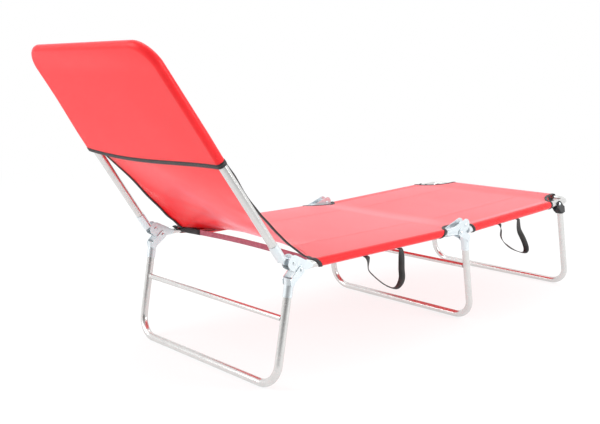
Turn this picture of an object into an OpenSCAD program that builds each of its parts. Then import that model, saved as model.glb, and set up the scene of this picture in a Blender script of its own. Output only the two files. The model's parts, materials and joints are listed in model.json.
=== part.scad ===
// Three-section folding sun lounger: bent tube frame, three folding U legs, sheet-metal hinges, mesh sling
// X runs across (positive to the side with the carry loops), Y from head to foot, Z up, floor at zero

/* [Frame] */
// distance between the centre lines of the two side rails
rail_span = 550; // [440:5:700]
// outside diameter of the frame tube
tube_d = 20; // [18:0.5:24]
// wall of the frame tube
tube_wall = 1.2; // [0.8:0.1:2]
// height of the seat rail centre line
seat_rail_z = 287; // [250:1:330]
// distance between the back pivot and the fold pivot
seat_len = 686; // [620:1:760]
// height of the hinge pivots above the seat rail centre line
pivot_rise = 14; // [13:0.5:18]

/* [Backrest] */
// angle of the backrest above level at rest
back_angle = 54.9; // [30:0.1:75]
// back pivot to centre line of the top bar
back_len = 589; // [520:1:680]
// bend radius of the two top corners
back_bend = 50; // [40:1:120]
// set-in of the backrest sides from the rail centre lines at the back pivot
back_in = 5; // [0:0.5:6]
// lean of the two backrest sides towards each other
back_lean = 3.1; // [0:0.1:4]
// back pivot to the lower hem of the back cover
hem_at = 294; // [240:1:380]

/* [Foot section] */
// rise of the foot section towards the foot end
foot_angle = 2.1; // [0:0.1:5]
// fold pivot to centre line of the end bar
foot_len = 634; // [560:1:680]
// bend radius of the two foot corners
foot_bend = 40; // [36:1:90]
// drop of the foot rail centre line below the fold pivot
foot_drop = 18; // [16:0.5:22]

/* [Legs] */
// lean of the rear leg towards the head
rear_lean = 9.5; // [0:0.5:15]
// lean of the middle leg towards the foot
mid_lean = 11.5; // [0:0.5:15]
// lean of the foot leg towards the foot
foot_lean = 15.5; // [5:0.5:20]
// back pivot to rear leg rivet
rear_rivet_y = 22; // [20:0.5:30]
// fold pivot back to middle leg rivet
mid_rivet_back = 24; // [23:0.5:30]
// drop of the leg rivets below the seat rail centre line
leg_rivet_drop = 5.5; // [4:0.5:6]
// rear leg rivet to leg centre line
rear_leg_offset = 22; // [21:0.5:28]
// middle leg rivet to leg centre line
mid_leg_offset = 32; // [24:0.5:36]
// bend radius of the leg corners
leg_bend = 55; // [45:1:70]
// height of the stretchers above the floor
stretcher_z = 166; // [120:1:200]
// outside diameter of the stretchers
stretcher_d = 14; // [10:0.5:16]
// foot leg pin to the start of the foot corner bend
pin_to_bend = 43; // [12:1:60]
// foot leg pin to leg centre line
foot_leg_offset = 23.5; // [23.5:0.5:30]

/* [Hinges] */
// thickness of the stamped sheet
sheet_t = 2; // [1.5:0.1:3]
// shank diameter of the rivets
rivet_d = 6; // [5:0.5:8]
// radius of the rivet heads
head_r = 5.2; // [4.8:0.1:7]
// length of the sleeves crimped on the tube ends
socket_len = 44; // [36:1:60]
// radius of the round hinge cheek about a fold pivot
cheek_r = 18; // [16:0.5:19]
// radius of the round cheek about a leg rivet
ear_r = 11; // [9:0.5:12]

/* [Fabric] */
// thickness of the mesh
cloth_t = 1.2; // [0.8:0.1:2]
// back pivot to the start of the seat rail sleeves
sleeve_from = 78; // [74:1:130]
// back pivot to the line where the free back sheet leaves the seat mesh
sheet_join = 112; // [90:1:160]
// set-in of the free mesh edges from the rail centre lines
edge_in = 26; // [22:1:60]
// gap in the rail sleeves before the fold pivot
sleeve_gap_seat = 112; // [100:1:140]
// gap in the rail sleeves after the fold pivot
sleeve_gap_foot = 66; // [66:1:90]
// gap in the rail sleeves before the foot leg pin
sleeve_gap_end = 44; // [30:1:60]
// width of the carry webbing
web_w = 16; // [10:1:30]
// thickness of the carry webbing
web_t = 2.4; // [1.5:0.1:4]
// span of each carry loop along the rail
loop_span = 128; // [100:1:160]
// drop of each carry loop below the rail
loop_drop = 108; // [80:1:140]
// back pivot to the middle of the seat carry loop
loop_seat_at = 312; // [250:1:400]
// fold pivot to the middle of the foot carry loop
loop_foot_at = 240; // [200:1:320]
// height of the flat cross band
band_h = 16; // [10:1:24]

/* [Hidden] */
$fn = 64;
fit = 0.05;
gap = 0.4;
seat = 0.1;
inset = 0.03;
tube_r = tube_d / 2;
bore_r = tube_r - tube_wall;
side_x = rail_span / 2;
back_x = side_x - back_in;
pivot_z = seat_rail_z + pivot_rise;
rivet_r = rivet_d / 2;
leg_rivet_z = seat_rail_z - leg_rivet_drop;
mid_rivet_y = seat_len - mid_rivet_back;
cheek_in = tube_r + seat;
cheek_out = cheek_in + sheet_t;
ear_in = cheek_out + gap;
ear_out = ear_in + sheet_t;
eye_r = 8.5;
eye_half = cheek_in - gap;
tongue_t = 7;
socket_in = tube_r + fit;
socket_r = socket_in + 1.5;
rail_clear = sqrt(pow(eye_r + 1, 2) - pow(pivot_rise - tube_r, 2));
socket_from = cheek_r + 2;
head_h = 2.4;
cloth_in = tube_r + 0.15;
cloth_r = cloth_in + cloth_t;
stretcher_r = stretcher_d / 2;
collar_from = 21;
collar_len = 16;
rear_len = (leg_rivet_z - tube_r + rear_leg_offset * sin(rear_lean)) / cos(rear_lean);
mid_len = (leg_rivet_z - tube_r + mid_leg_offset * sin(mid_lean)) / cos(mid_lean);
foot_pin_at = foot_len - foot_bend - pin_to_bend;
foot_pin_z = pivot_z - foot_drop * cos(foot_angle) + foot_pin_at * sin(foot_angle);
foot_pin_y = seat_len + foot_drop * sin(foot_angle) + foot_pin_at * cos(foot_angle);
foot_leg_len = (foot_pin_z - tube_r + foot_leg_offset * sin(foot_lean)) / cos(foot_lean);
back_end_y = -back_len * cos(back_angle) - pivot_rise * sin(back_angle) - cloth_r;
foot_end_y = foot_pin_y + foot_leg_offset * cos(foot_lean) + foot_leg_len * sin(foot_lean) + tube_r;
mid_y = (back_end_y + foot_end_y) / 2;
sheet_hold_x = side_x - edge_in;
butt = 0.3;
slim = 0.1;
layer_in = 4;
layer_dip = 0.3;

// colours
silver = [0.90, 0.90, 0.89];
zinc = [0.84, 0.89, 0.93];
red = [0.93, 0.16, 0.18];
wine = [0.62, 0.22, 0.30];
black = [0.08, 0.08, 0.08];

// whole object is centred on the floor
module at_floor() {
    translate([0, -mid_y, 0]) children();
}

// backrest drawn lying flat behind its pivot, then raised
module at_back() {
    at_floor() translate([0, 0, pivot_z]) rotate([-back_angle, 0, 0]) children();
}

// foot section drawn level in front of its pivot, then tilted
module at_foot() {
    at_floor() translate([0, seat_len, pivot_z]) rotate([foot_angle, 0, 0]) children();
}

module at_rear_leg() {
    at_floor() translate([0, rear_rivet_y, leg_rivet_z]) rotate([-rear_lean, 0, 0]) children();
}

module at_mid_leg() {
    at_floor() translate([0, mid_rivet_y, leg_rivet_z]) rotate([mid_lean, 0, 0]) children();
}

module at_foot_leg() {
    at_floor() translate([0, foot_pin_y, foot_pin_z]) rotate([foot_lean, 0, 0]) children();
}

// side 1 is the loop side, side -1 the other
module on_side(side) {
    if (side > 0) children();
    else mirror([1, 0, 0]) children();
}

// outline drawn in Y and Z, given a thickness along X
module plate(from_x, thick) {
    translate([from_x, 0, 0]) rotate([90, 0, 90]) linear_extrude(thick) children();
}

// two plates, one on each side of the rail centre plane
module cheeks(inner, thick) {
    plate(side_x + inner, thick) children();
    plate(side_x - inner - thick, thick) children();
}

// round-ended link between two circles, its straight sides set in a little so that they cut the circles
module link(p, pr, q, qr) {
    d = q - p;
    a = atan2(d[1], d[0]);
    b = acos((pr - qr) / norm(d));
    translate(p) circle(pr);
    translate(q) circle(qr);
    polygon([
        p + (pr - inset) * [cos(a + b), sin(a + b)],
        q + (qr - inset) * [cos(a + b), sin(a + b)],
        q + (qr - inset) * [cos(a - b), sin(a - b)],
        p + (pr - inset) * [cos(a - b), sin(a - b)]
    ]);
}

module bar_x(r, from_x, to_x) {
    translate([from_x, 0, 0]) rotate([0, 90, 0]) cylinder(r = r, h = to_x - from_x);
}

module bar_y(r, from_y, to_y) {
    translate([0, from_y, 0]) rotate([-90, 0, 0]) cylinder(r = r, h = to_y - from_y);
}

// length of one side of a U bar up to its corner, the sides leaning in
function u_side(length, bend, lean) = (length - bend + bend * sin(lean)) / cos(lean);

// half length of the straight end bar of a U bar whose sides start at x
function u_half(x, length, bend, lean) = x - u_side(length, bend, lean) * sin(lean) - bend * cos(lean);

// solid U bar in the XY plane: two sides at x from start, round corners, end bar at length;
// where the sides lean, the straight bars run a touch into the corners, which are a touch slimmer
module u_bar(r, x, start, length, bend, lean = 0) {
    half = u_half(x, length, bend, lean);
    over = lean > 0 ? butt : 0;
    corner_r = lean > 0 ? r - slim : r;
    for (side = [1, -1]) on_side(side) {
        translate([x, 0, 0]) rotate([0, 0, lean]) bar_y(r, start, u_side(length, bend, lean) + over);
        translate([half, length - bend, 0]) rotate([0, 0, lean])
            rotate_extrude(angle = 90 - lean) translate([bend, 0]) circle(corner_r);
    }
    translate([0, length, 0]) bar_x(r, -half - over, half + over);
}

// hollow U tube, open at its two ends
module u_tube(outer, inner, x, start, length, bend, lean = 0) {
    difference() {
        u_bar(outer, x, start, length, bend, lean);
        u_bar(inner, x, start - 1, length, bend, lean);
    }
}

// sleeve along Y with an open bore
module sleeve(r, bore, from_y, to_y) {
    difference() {
        bar_y(r, from_y, to_y);
        bar_y(bore, from_y - 1, to_y + 1);
    }
}

// domed rivet on a line along X, centred on the rail plane, clamping up to half
module rivet(half) {
    translate([side_x, 0, 0]) rotate([0, 90, 0]) rotate_extrude() polygon(concat(
        [[0, -half - head_h], [head_r * 0.6, -half - head_h], [head_r, -half - 0.9], [head_r, -half]],
        [[rivet_r, -half], [rivet_r, half]],
        [[head_r, half], [head_r, half + 0.9], [head_r * 0.6, half + head_h], [0, half + head_h]]));
}

// side rail of the seat
module rail(side) {
    color(silver) at_floor() on_side(side) difference() {
        translate([side_x, 0, seat_rail_z]) sleeve(tube_r, bore_r, rail_clear, seat_len - rail_clear);
        for (y = [rear_rivet_y, mid_rivet_y])
            translate([0, y, leg_rivet_z]) bar_x(rivet_r + fit, side_x - tube_d, side_x + tube_d);
    }
}

// stamped bracket on the head end of a rail, carrying the back pivot and the rear leg rivet
module back_plate(side) {
    tail = rear_rivet_y + 34;
    color(zinc) at_floor() on_side(side) difference() {
        union() {
            cheeks(cheek_in, sheet_t) {
                link([0, pivot_z], cheek_r, [rear_rivet_y, leg_rivet_z], ear_r);
                link([rear_rivet_y, seat_rail_z], ear_r, [tail, seat_rail_z], 5);
                link([0, pivot_z], cheek_r, [tail, seat_rail_z], 5);
            }
            translate([side_x, 0, seat_rail_z]) bar_y(socket_r, rear_rivet_y + 12, tail);
        }
        translate([side_x, 0, seat_rail_z]) bar_y(socket_in, 0, tail + 10);
        translate([0, 0, pivot_z]) bar_x(rivet_r + fit, side_x - tube_d, side_x + tube_d);
        translate([0, rear_rivet_y, leg_rivet_z]) bar_x(rivet_r + fit, side_x - tube_d, side_x + tube_d);
    }
}

// stamped and ribbed bracket on the other end of a rail, carrying the fold pivot and the middle leg rivet
module fold_plate(side) {
    tail = mid_rivet_y - 62;
    color(zinc) at_floor() on_side(side) difference() {
        union() {
            cheeks(cheek_in, sheet_t) {
                link([seat_len, pivot_z], cheek_r, [mid_rivet_y, leg_rivet_z], ear_r);
                link([mid_rivet_y, seat_rail_z], ear_r, [tail, seat_rail_z], 5);
                link([seat_len, pivot_z], cheek_r, [tail, seat_rail_z], 5);
            }
            translate([side_x, 0, seat_rail_z]) bar_y(socket_r, tail, mid_rivet_y - 14);
            for (y = [tail + 6 : 7 : tail + 34]) translate([side_x, 0, seat_rail_z]) bar_y(socket_r + 1, y, y + 3);
        }
        translate([side_x, 0, seat_rail_z]) bar_y(socket_in, tail - 10, seat_len);
        translate([0, seat_len, pivot_z]) bar_x(rivet_r + fit, side_x - tube_d, side_x + tube_d);
        translate([0, mid_rivet_y, leg_rivet_z]) bar_x(rivet_r + fit, side_x - tube_d, side_x + tube_d);
    }
}

module rivets_at(y, z, half) {
    color(zinc) at_floor() translate([0, y, z]) for (side = [1, -1]) on_side(side) rivet(half);
}

// hinge lug drawn for a tube that runs to +Y, drop below the pivot: socket, tongue and pivot eye
module lug(drop, x, lean = 0) {
    difference() {
        union() {
            translate([x, 0, -drop]) rotate([0, 0, lean]) bar_y(socket_r, socket_from, socket_from + socket_len);
            plate(side_x - tongue_t / 2, tongue_t) link([0, 0], eye_r, [socket_from - 4, -drop], eye_r - 1);
            bar_x(eye_r, side_x - eye_half, side_x + eye_half);
        }
        translate([x, 0, -drop]) rotate([0, 0, lean])
            bar_y(socket_in, socket_from + 6, socket_from + socket_len + 1);
        bar_x(rivet_r + fit, side_x - tube_d, side_x + tube_d);
    }
}

module back_lug(side) {
    color(zinc) at_back() on_side(side) mirror([0, 1, 0]) lug(pivot_rise, back_x, back_lean);
}

module foot_lug(side) {
    color(zinc) at_foot() on_side(side) lug(foot_drop, side_x);
}

module back_frame() {
    color(silver) at_back() mirror([0, 1, 0]) translate([0, 0, -pivot_rise])
        u_tube(tube_r, bore_r, back_x, socket_from + 6.5, back_len, back_bend, back_lean);
}

module foot_frame() {
    color(silver) at_foot() translate([0, 0, -foot_drop]) difference() {
        u_tube(tube_r, bore_r, side_x, socket_from + 6.5, foot_len, foot_bend);
        for (side = [1, -1]) on_side(side)
            translate([0, foot_pin_at, 0]) bar_x(rivet_r + fit, side_x - tube_d, side_x + tube_d);
    }
}

// outline of one flat layer of the cover, its edge a little inside the tube's centre line
module cover_layer() {
    half = u_half(back_x, back_len, back_bend, back_lean);
    r = back_bend - layer_in;
    edge = r - inset;
    low_x = back_x - hem_at * tan(back_lean) - (layer_in + inset) / cos(back_lean);
    turn = [half + edge * cos(back_lean), back_len - back_bend + edge * sin(back_lean)];
    for (side = [1, -1]) translate([side * half, back_len - back_bend]) circle(r);
    polygon([[low_x, hem_at], turn, [half, back_len - layer_in - inset], [-half, back_len - layer_in - inset],
        [-turn[0], turn[1]], [-low_x, hem_at]]);
}

// double-layer sock over the upper half of the backrest: a sleeve round the tube and two flat layers
module back_cover() {
    color(red) at_back() mirror([0, 1, 0]) translate([0, 0, -pivot_rise]) {
        u_tube(cloth_r, cloth_in, back_x, hem_at / cos(back_lean), back_len, back_bend, back_lean);
        for (z = [cloth_in - layer_dip, layer_dip - cloth_r]) translate([0, 0, z]) linear_extrude(cloth_t) cover_layer();
    }
}

// free sheet that runs on from the cover's front layer down to the seat mesh
module back_sheet() {
    low = [sheet_join - butt, seat_rail_z + cloth_in];
    dir = [-cos(back_angle), sin(back_angle)];
    out = [sin(back_angle), cos(back_angle)];
    high = [0, pivot_z] + (hem_at - butt) * dir + (cloth_in - pivot_rise) * out;
    color(red) at_floor() plate(-sheet_hold_x, 2 * sheet_hold_x)
        polygon([low, high, high + cloth_t * out, low + [0, cloth_t]]);
}

// seat mesh with a sewn sleeve along each rail
module seat_sling() {
    to_y = seat_len - sleeve_gap_seat;
    color(red) at_floor() {
        for (side = [1, -1]) on_side(side) {
            translate([side_x, 0, seat_rail_z]) sleeve(cloth_r, cloth_in, sleeve_from, to_y);
            translate([sheet_hold_x, sleeve_from, seat_rail_z + cloth_in])
                cube([edge_in, to_y - sleeve_from, cloth_t]);
        }
        translate([-sheet_hold_x, sheet_join, seat_rail_z + cloth_in])
            cube([2 * sheet_hold_x, seat_len - 4 - sheet_join, cloth_t]);
    }
}

// flat webbing tied across the rails just in front of the back hinges
module cross_band() {
    half = side_x - cloth_r - seat;
    color(wine) at_floor() translate([-half, sleeve_from + 2, seat_rail_z - band_h / 2 + 1])
        cube([2 * half, web_t, band_h]);
}

// foot mesh with a sleeve along each rail and one along the end bar
module foot_sling() {
    to_y = foot_pin_at - sleeve_gap_end;
    end_x = side_x - foot_bend - 12;
    color(red) at_foot() translate([0, 0, -foot_drop]) {
        for (side = [1, -1]) on_side(side) translate([side_x, 0, 0])
            sleeve(cloth_r, cloth_in, sleeve_gap_foot, to_y);
        translate([-side_x, sleeve_gap_foot, cloth_in]) cube([rail_span, to_y - sleeve_gap_foot, cloth_t]);
        translate([-sheet_hold_x, 4, cloth_in]) cube([2 * sheet_hold_x, to_y - 4, cloth_t]);
        translate([-end_x, to_y - 1, cloth_in]) cube([2 * end_x, foot_len - to_y + 1, cloth_t]);
        translate([0, foot_len, 0]) difference() {
            bar_x(cloth_r, -end_x, end_x);
            bar_x(cloth_in, -end_x - 1, end_x + 1);
        }
    }
}

// hanging carry loop drawn about its middle, top edge at rail centre height
module loop() {
    outer = loop_span / 2;
    plate(side_x + cloth_r + seat, web_t) difference() {
        union() {
            translate([-outer, outer - loop_drop]) square([loop_span, loop_drop - outer]);
            translate([0, outer - loop_drop]) circle(outer);
        }
        translate([web_w - outer, outer - loop_drop]) square([loop_span - 2 * web_w, loop_drop]);
        translate([0, outer - loop_drop]) circle(outer - web_w);
    }
}

module seat_loop() {
    color(black) at_floor() translate([0, loop_seat_at, seat_rail_z]) loop();
}

module foot_loop() {
    color(black) at_foot() translate([0, loop_foot_at, -foot_drop]) loop();
}

// leg tube: drawn in the XY plane, then hung from the pivot line at an offset along Y
module hang(offset) {
    translate([0, offset, 0]) rotate([-90, 0, 0]) children();
}

module leg_frame(offset, length) {
    hang(offset) u_tube(tube_r, bore_r, side_x, collar_from + 1, length, leg_bend);
}

// straight cross tube butted between the two sides of a leg
module stretcher(offset, drop) {
    half = side_x - tube_r + 0.6;
    translate([0, offset, -drop]) difference() {
        bar_x(stretcher_r, -half, half);
        bar_x(stretcher_r - 1, -half - 1, half + 1);
        for (side = [1, -1]) translate([side * side_x, 0, -tube_d]) cylinder(r = tube_r + fit, h = 2 * tube_d);
    }
}

// stamped fork: two ears on the rivet, a flared collar and a socket on the leg tube
module fork(offset) {
    way = offset > 0 ? 1 : -1;
    difference() {
        union() {
            cheeks(ear_in, sheet_t) {
                link([0, 0], ear_r, [offset, -collar_from - 4], 9);
                link([offset, -collar_from - 6], 8, [offset + way, -collar_from - 12], 6);
            }
            translate([side_x, offset, 0]) rotate([180, 0, 0]) {
                translate([0, 0, collar_from]) cylinder(r1 = ear_out - gap, r2 = socket_r, h = collar_len);
                translate([0, 0, collar_from]) cylinder(r = socket_r, h = socket_len);
            }
        }
        translate([side_x, offset, -collar_from - socket_len - 1]) cylinder(r = socket_in, h = socket_len);
        translate([side_x, offset, -collar_from - 1]) cylinder(r = bore_r, h = 10);
        bar_x(rivet_r + fit, side_x - tube_d, side_x + tube_d);
    }
}

module rear_leg_frame() {
    color(silver) at_rear_leg() leg_frame(-rear_leg_offset, rear_len);
}

module mid_leg_frame() {
    color(silver) at_mid_leg() leg_frame(mid_leg_offset, mid_len);
}

module rear_leg_stretcher() {
    color(silver) at_rear_leg() stretcher(-rear_leg_offset, (leg_rivet_z - stretcher_z) / cos(rear_lean));
}

module mid_leg_stretcher() {
    color(silver) at_mid_leg() stretcher(mid_leg_offset, (leg_rivet_z - stretcher_z) / cos(mid_lean));
}

module rear_fork(side) {
    color(zinc) at_rear_leg() on_side(side) fork(-rear_leg_offset);
}

module mid_fork(side) {
    color(zinc) at_mid_leg() on_side(side) fork(mid_leg_offset);
}

// moulded knuckle: two ears on the pin and a chamfered block round the top of the foot leg
module foot_knuckle(side) {
    ear = 4;
    inner = tube_r + gap;
    half = inner + ear;
    near = cloth_r + 0.6;
    far = foot_leg_offset + 13;
    cut = 5;
    high = 20;
    top = -tube_r - 12;
    color(black) at_foot_leg() on_side(side) difference() {
        union() {
            cheeks(inner, ear) link([0, 0], 10, [foot_leg_offset - 4, top - 6], 12);
            translate([side_x, 0, top - high]) linear_extrude(high) polygon([
                [-half + cut, near], [half - cut, near], [half, near + cut], [half, far - cut],
                [half - cut, far], [-half + cut, far], [-half, far - cut], [-half, near + cut]]);
        }
        translate([side_x, foot_leg_offset, top - high - 2]) cylinder(r = tube_r + fit, h = high - 4);
        bar_x(rivet_r + fit, side_x - tube_d, side_x + tube_d);
    }
}

module foot_leg_frame() {
    color(silver) at_foot_leg() hang(foot_leg_offset) u_tube(tube_r, bore_r, side_x, tube_r + 18.5, foot_leg_len, leg_bend);
}

module foot_leg_pins() {
    color(zinc) at_foot() translate([0, foot_pin_at, -foot_drop])
        for (side = [1, -1]) on_side(side) rivet(tube_r + gap + 4 + seat);
}

rail(-1);  // rail_left
rail(1);  // rail_right
back_plate(-1);  // back_plate_left
back_plate(1);  // back_plate_right
fold_plate(-1);  // fold_plate_left
fold_plate(1);  // fold_plate_right
rivets_at(0, pivot_z, cheek_out + seat);  // back_pivots
rivets_at(seat_len, pivot_z, cheek_out + seat);  // fold_pivots
rivets_at(rear_rivet_y, leg_rivet_z, ear_out + seat);  // rear_leg_rivets
rivets_at(mid_rivet_y, leg_rivet_z, ear_out + seat);  // mid_leg_rivets
seat_sling();
cross_band();
seat_loop();
back_frame();
back_lug(-1);  // back_lug_left
back_lug(1);  // back_lug_right
back_cover();
back_sheet();
foot_frame();
foot_lug(-1);  // foot_lug_left
foot_lug(1);  // foot_lug_right
foot_sling();
foot_loop();
foot_leg_pins();
rear_leg_frame();
rear_leg_stretcher();
rear_fork(-1);  // rear_fork_left
rear_fork(1);  // rear_fork_right
mid_leg_frame();
mid_leg_stretcher();
mid_fork(-1);  // mid_fork_left
mid_fork(1);  // mid_fork_right
foot_leg_frame();
foot_knuckle(-1);  // foot_knuckle_left
foot_knuckle(1);  // foot_knuckle_right
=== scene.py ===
import json
import math

import bmesh
import bpy
from mathutils import Matrix, Vector, noise


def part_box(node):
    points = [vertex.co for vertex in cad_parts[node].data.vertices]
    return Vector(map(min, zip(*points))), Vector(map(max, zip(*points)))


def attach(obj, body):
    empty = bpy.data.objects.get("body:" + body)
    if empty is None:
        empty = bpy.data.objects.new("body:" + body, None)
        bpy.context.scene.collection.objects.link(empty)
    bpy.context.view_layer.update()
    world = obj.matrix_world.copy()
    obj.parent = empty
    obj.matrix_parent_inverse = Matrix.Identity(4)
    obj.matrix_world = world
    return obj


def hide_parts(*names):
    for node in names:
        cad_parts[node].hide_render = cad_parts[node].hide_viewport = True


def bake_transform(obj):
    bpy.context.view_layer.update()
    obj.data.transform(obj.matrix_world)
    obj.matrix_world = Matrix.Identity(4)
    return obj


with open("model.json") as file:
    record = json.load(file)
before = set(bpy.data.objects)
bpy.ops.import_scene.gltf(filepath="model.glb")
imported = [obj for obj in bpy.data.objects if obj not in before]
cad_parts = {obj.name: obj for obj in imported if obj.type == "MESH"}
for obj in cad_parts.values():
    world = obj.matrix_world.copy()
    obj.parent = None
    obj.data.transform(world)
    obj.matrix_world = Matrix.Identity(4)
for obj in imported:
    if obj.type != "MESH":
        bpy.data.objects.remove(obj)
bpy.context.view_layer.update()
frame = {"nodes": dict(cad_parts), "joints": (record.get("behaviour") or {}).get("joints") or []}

MM = 0.001

# Places and sizes read from the frame
JOINTS = {joint["name"]: joint for joint in frame["joints"]}
RAIL_LOW, RAIL_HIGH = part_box("rail_right")
RAIL_X = (RAIL_LOW[0] + RAIL_HIGH[0]) / 2
RAIL_Z = (RAIL_LOW[2] + RAIL_HIGH[2]) / 2
TUBE_R = (RAIL_HIGH[2] - RAIL_LOW[2]) / 2
BACK_Y, PIVOT_Z = JOINTS["backrest_recline"]["pos_m"][1:]
FOLD_Y = JOINTS["foot_fold"]["pos_m"][1]
SEAT_LEN = FOLD_Y - BACK_Y
PIVOT_RISE = PIVOT_Z - RAIL_Z
BACK_ANGLE = -math.radians(JOINTS["backrest_recline"]["range_deg"][0])
BACK_COS, BACK_SIN = math.cos(BACK_ANGLE), math.sin(BACK_ANGLE)
BACK_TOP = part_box("back_frame")[1][2] - TUBE_R - PIVOT_Z
BACK_LEN = (BACK_TOP + PIVOT_RISE * BACK_COS) / BACK_SIN
FOOT_LOW, FOOT_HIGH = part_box("foot_frame")
FOOT_ANGLE = math.atan2(FOOT_HIGH[2] - FOOT_LOW[2] - 2 * TUBE_R, FOOT_HIGH[1] - FOOT_LOW[1] - TUBE_R)
FOOT_COS, FOOT_SIN = math.cos(FOOT_ANGLE), math.sin(FOOT_ANGLE)
END_Y, END_Z = FOOT_HIGH[1] - TUBE_R - FOLD_Y, FOOT_HIGH[2] - TUBE_R - PIVOT_Z
FOOT_LEN = END_Y * FOOT_COS + END_Z * FOOT_SIN
FOOT_DROP = END_Y * FOOT_SIN - END_Z * FOOT_COS

# Mesh sling
CLOTH_T = 0.9 * MM
CLOTH_R = TUBE_R + 0.8 * MM
SOCKET_COVER_R = TUBE_R + 2.3 * MM
SEAM_IN, END_SEAM_IN = 130 * MM, 22 * MM
FLAP = 6 * MM
FLAP_SEWN = 0.4 * FLAP
WRAP_END, END_WRAP_END = math.radians(198), math.radians(215)
SEAM_UP = 0.86
SAG = 3 * MM
SAG_FROM_HEAD, SAG_TO_END = 220 * MM, 350 * MM
HEAD_CUT_TOP, HEAD_CUT_LOW = 65 * MM, 92 * MM
HEAD_CUT_SEAM_LEFT, HEAD_CUT_SEAM_RIGHT = 98 * MM, 138 * MM
SEAT_CUT_TOP, SEAT_CUT_LOW = 601 * MM, 579 * MM
FOOT_CUT_TOP, FOOT_CUT_LOW = 33 * MM, 45 * MM
END_CUT_TOP, END_CUT_LOW = 510 * MM, 503 * MM
SEAT_CUT_HOLLOW, FOOT_CUT_HOLLOW, END_CUT_HOLLOW = 0.32, 0.5, 0.42
NOTCH_X = 249 * MM
END_SLEEVE_X = 223 * MM
END_SLEEVE_LEFT = 195 * MM
END_COVER_R = TUBE_R + 4.3 * MM
END_EASE = 120 * MM
FOLD_EASE = 60 * MM
SEAT_ROWS, FOOT_ROWS = 104, 96

# Back cover and free back sheet
BACK_X = RAIL_X - 5 * MM
BACK_LEAN = math.radians(3.1)
BACK_BEND = 50 * MM
HEM = 294 * MM
HEM_DIP = 15 * MM
HEM_SKEW = 0.7
COVER_SAG = 5 * MM
COVER_SAG_RUN = 1.2 * BACK_BEND
COVER_SLACK = 2 * MM
COVER_FLARE = 14 * MM
FLARE_RISE = 200 * MM
SLACK_RISE = 80 * MM
HEM_FADE = 120 * MM
COVER_STEPS, BEND_STEPS, COVER_HALF_COLUMNS, RIM_STEPS = 26, 18, 24, 12
CREASE_MIDDLE, CREASE_EDGE = 152 * MM, 75 * MM
CREASE_SKEW = 0.14
CREASE_LEVEL = 70 * MM
CREASE_POWER_LEFT, CREASE_POWER_RIGHT = 3, 5
SHEET_LOW_X = 250 * MM
SHEET_MID_LEFT, SHEET_TOP_LEFT = 248 * MM, 266 * MM
SHEET_MID_RIGHT, SHEET_TOP_RIGHT = 226 * MM, 251 * MM
SHEET_NARROW_UP = 0.5
SHEET_WIDEN_UP, SHEET_WIDEN_RUN = 0.62, 0.3
SHEET_SEWN_UP, SHEET_SEWN_RUN = 0.9, 0.1
SHEET_EASE_MIDDLE, SHEET_EASE_EDGE, SHEET_EASE_TOP = 62 * MM, 40 * MM, 90 * MM
SHEET_LIFT_MIDDLE, SHEET_LIFT_EDGE = math.radians(10), math.radians(27)
SHEET_LEAVES_COVER = math.radians(44.6)
SHEET_SLACK_IN, SHEET_SLACK_OUT, SHEET_SLACK_END = 0.15, 0.5, 0.8
SHEET_RIPPLE, SHEET_DRAW = 2.4 * MM, 1.6 * MM
RIPPLE_ACROSS, RIPPLE_UP, RIPPLE_SLANT = 2.2, 9, 1.2
RIPPLE_SHIFT, RIPPLE_LAYER = 3.1, 0.4
DRAW_ACROSS, DRAW_UP, DRAW_LAYER = 4.0, 5, 2.6
SLACK_WAY = Vector((0, -0.7, -0.7))
SHEET_STEPS, SHEET_HALF_COLUMNS = 84, 30

# Tape, webbing and thread
TAPE_W, HEM_TAPE_W = 8.5 * MM, 10.5 * MM
TAPE_T = 1.5 * MM
TAPE_TURN = 0.9 * MM
TAPE_SEWN_IN, TAPE_SEWN_UP = 0.72 * TAPE_W, 0.95 * TAPE_T
WEB_W = 17 * MM
WEB_T = 1.6 * MM
SELVEDGE = 0.7 * MM
LOOP_STEPS = 10
BAND_H = 15 * MM
BAND_Y = 81 * MM
BAND_UP, BAND_BOW = 3 * MM, 6.5 * MM
BAND_END_IN = 165 * MM
BAND_END_H, BAND_END_T = BAND_H + 1 * MM, 2.4 * WEB_T
BAND_GAP = 2 * MM
BAND_TURN_R = 9 * MM
BAND_TAIL = 60 * MM
STITCH_LEN = 2.6 * MM
STITCH_PITCH = 3.6 * MM
STITCH_R = 0.32 * MM
STITCH_UP = 0.55 * CLOTH_T
SEAM_STEP = 6 * MM
SEAM_FROM_CREASE, SEAM_TO_FOLD, SEAM_FROM_FOLD, SEAM_PAST_END = 4 * MM, 66 * MM, 40 * MM, 18 * MM
SEAM_OVERRUN = 6 * MM

# Welding and weave
WELD = 0.02 * MM
SAME_POINT = 0.3 * MM
EDGE_SLOP = 1 * MM
HEAD_SLOP = 3 * MM
MESH_PITCH = 1.5 * MM
THREAD_FROM, THREAD_FULL = 0.36, 0.46
THROUGH_SHARE = 0.26


def ease(value):
    """Smooth step from 0 to 1."""
    value = min(max(value, 0.0), 1.0)
    return value * value * (3 - 2 * value)


def mixed(low, high, share):
    return low + (high - low) * share


def seat_point(x, along, up):
    """Point on the seat: along from the back pivot, up from the rail centre line."""
    return Vector((x, BACK_Y + along, RAIL_Z + up))


def foot_point(x, along, up):
    """Point on the foot section: along from the fold pivot, up from the foot rail centre line."""
    drop = up - FOOT_DROP
    y = FOLD_Y + along * FOOT_COS - drop * FOOT_SIN
    return Vector((x, y, PIVOT_Z + along * FOOT_SIN + drop * FOOT_COS))


def back_half(along):
    """Half width between the leaning back tubes."""
    return BACK_X - along * math.tan(BACK_LEAN)


def back_point(x, along, out):
    """Point on the backrest: along from the back pivot, out from the tube plane towards the sitter."""
    out -= PIVOT_RISE
    y = BACK_Y - along * BACK_COS + out * BACK_SIN
    return Vector((x, y, PIVOT_Z + along * BACK_SIN + out * BACK_COS))


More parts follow.
